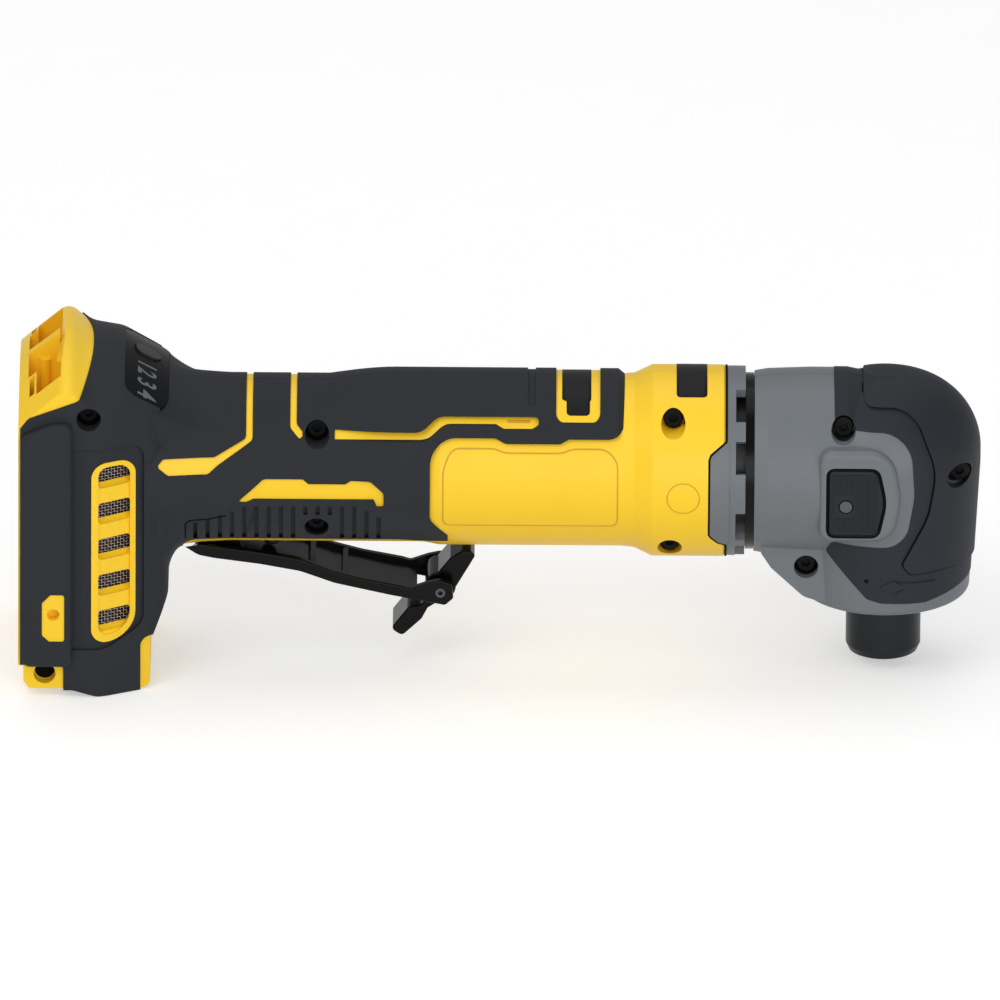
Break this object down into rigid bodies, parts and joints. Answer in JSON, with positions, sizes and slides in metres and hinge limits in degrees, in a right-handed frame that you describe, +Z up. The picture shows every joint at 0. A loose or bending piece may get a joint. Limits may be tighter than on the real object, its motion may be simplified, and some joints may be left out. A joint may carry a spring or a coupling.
{
  "type": "cordless right-angle die grinder",
  "caption": "Cordless right-angle die grinder: round overmoulded grip with a slide-battery foot, paddle lever with lock-off, bevel-geared head and a collet with a spindle lock.",
  "frame": {"origin": "middle of the collet mouth, on the spindle axis", "axes": "+X along the motor line from the battery foot to the head, +Z up the spindle, -Y towards the side with the spindle-lock button"},
  "size_m": [0.2976, 0.078, 0.1088],
  "materials": {
    "yellow_plastic": "satin, fine moulded texture",
    "soft_rubber": "matte overmould",
    "grey_plastic": "satin moulded",
    "black_gloss": "gloss moulded",
    "black_plastic": "satin moulded",
    "screen_mesh": "black coated woven wire",
    "steel": "ground",
    "black_steel": "black oxide",
    "die_cast": "cast",
    "lamination": "stacked sheet",
    "copper": "enamelled wire",
    "brass": "plated",
    "board_green": "solder mask",
    "spring_steel": "drawn wire"
  },
  "bodies": {
    "housing": {"right_housing": "yellow_plastic", "left_housing": "yellow_plastic", "right_soft_grip": "soft_rubber", "left_soft_grip": "soft_rubber", "control_panel": "black_gloss", "exhaust_collar": "grey_plastic", "baffle_ring": "black_plastic", "right_head_shell": "grey_plastic", "left_head_shell": "grey_plastic", "right_head_cover": "soft_rubber", "left_head_cover": "soft_rubber", "gear_case": "die_cast", "bearing_plate": "die_cast", "front_motor_bearing": "steel", "rear_motor_bearing": "steel", "lower_spindle_bearing": "steel", "upper_spindle_bearing": "steel", "bearing_retainer": "steel", "collet_guard": "black_steel", "stator_core": "lamination", "stator_windings": "copper", "sensor_board": "board_green", "terminal_block": "black_plastic", "terminal_blades": "brass", "controller": "black_plastic", "motor_leads": "soft_rubber", "switch_leads": "soft_rubber", "trigger_switch": "black_plastic", "right_intake_screen": "screen_mesh", "left_intake_screen": "screen_mesh", "lever_pivot_pin": "steel", "lever_spring": "spring_steel", "lock_button_spring": "spring_steel", "housing_screws": "black_steel", "head_screws": "black_steel"},
    "rotor": {"motor_shaft": "steel", "rotor_core": "lamination", "rotor_magnets": "steel", "cooling_fan": "black_plastic", "pinion": "steel"},
    "spindle": {"spindle": "steel", "bevel_gear": "steel", "collet": "steel"},
    "nut": {"collet_nut": "black_steel"},
    "lever": {"paddle_lever": "black_gloss", "lock_off_pin": "brass", "lock_off_spring": "spring_steel"},
    "lock_off": {"lock_off_tab": "black_gloss"},
    "plunger": {"switch_plunger": "black_plastic"},
    "lock_button": {"spindle_lock_button": "grey_plastic", "spindle_lock_pin": "steel"},
    "speed_button": {"speed_button": "black_plastic"}
  },
  "joints": [
    {"name": "motor_spin", "type": "hinge", "parent": "housing", "child": "rotor", "pos_m": [-0.088, 0, 0.0629], "axis": [1, 0, 0], "continuous": true},
    {"name": "spindle_spin", "type": "hinge", "parent": "housing", "child": "spindle", "pos_m": [0, 0, 0.04], "axis": [0, 0, 1], "continuous": true},
    {"name": "collet_nut_turn", "type": "hinge", "parent": "spindle", "child": "nut", "pos_m": [0, 0, 0.01], "axis": [0, 0, -1], "range_deg": [0, 180]},
    {"name": "lever_squeeze", "type": "hinge", "parent": "housing", "child": "lever", "pos_m": [-0.207, 0, 0.0415], "axis": [0, -1, 0], "range_deg": [0, 4], "stiffness_Nm_per_rad": 2, "springref_deg": -5.73, "deforming": ["lever_spring"]},
    {"name": "lock_off_swing", "type": "hinge", "parent": "lever", "child": "lock_off", "pos_m": [-0.1375, 0, 0.0229], "axis": [0, 1, 0], "range_deg": [0, 30], "deforming": ["lock_off_spring"]},
    {"name": "plunger_slide", "type": "slide", "parent": "housing", "child": "plunger", "axis": [0, 0, 1], "range_m": [0, 0.0012]},
    {"name": "spindle_lock_press", "type": "slide", "parent": "housing", "child": "lock_button", "axis": [0, 1, 0], "range_m": [0, 0.003], "stiffness_N_per_m": 600, "springref_m": -0.004, "deforming": ["lock_button_spring"]},
    {"name": "speed_press", "type": "slide", "parent": "housing", "child": "speed_button", "axis": [-0.4679, 0, -0.8838], "range_m": [0, 0.0006], "stiffness_N_per_m": 800, "springref_m": -0.001}
  ],
  "couplings": [
    {"joint": "spindle_spin", "follows": "motor_spin", "ratio": -0.73333},
    {"joint": "lock_off_swing", "follows": "lever_squeeze", "ratio": 7.5},
    {"joint": "plunger_slide", "follows": "lever_squeeze", "m_per_rad": 0.017}
  ]
}
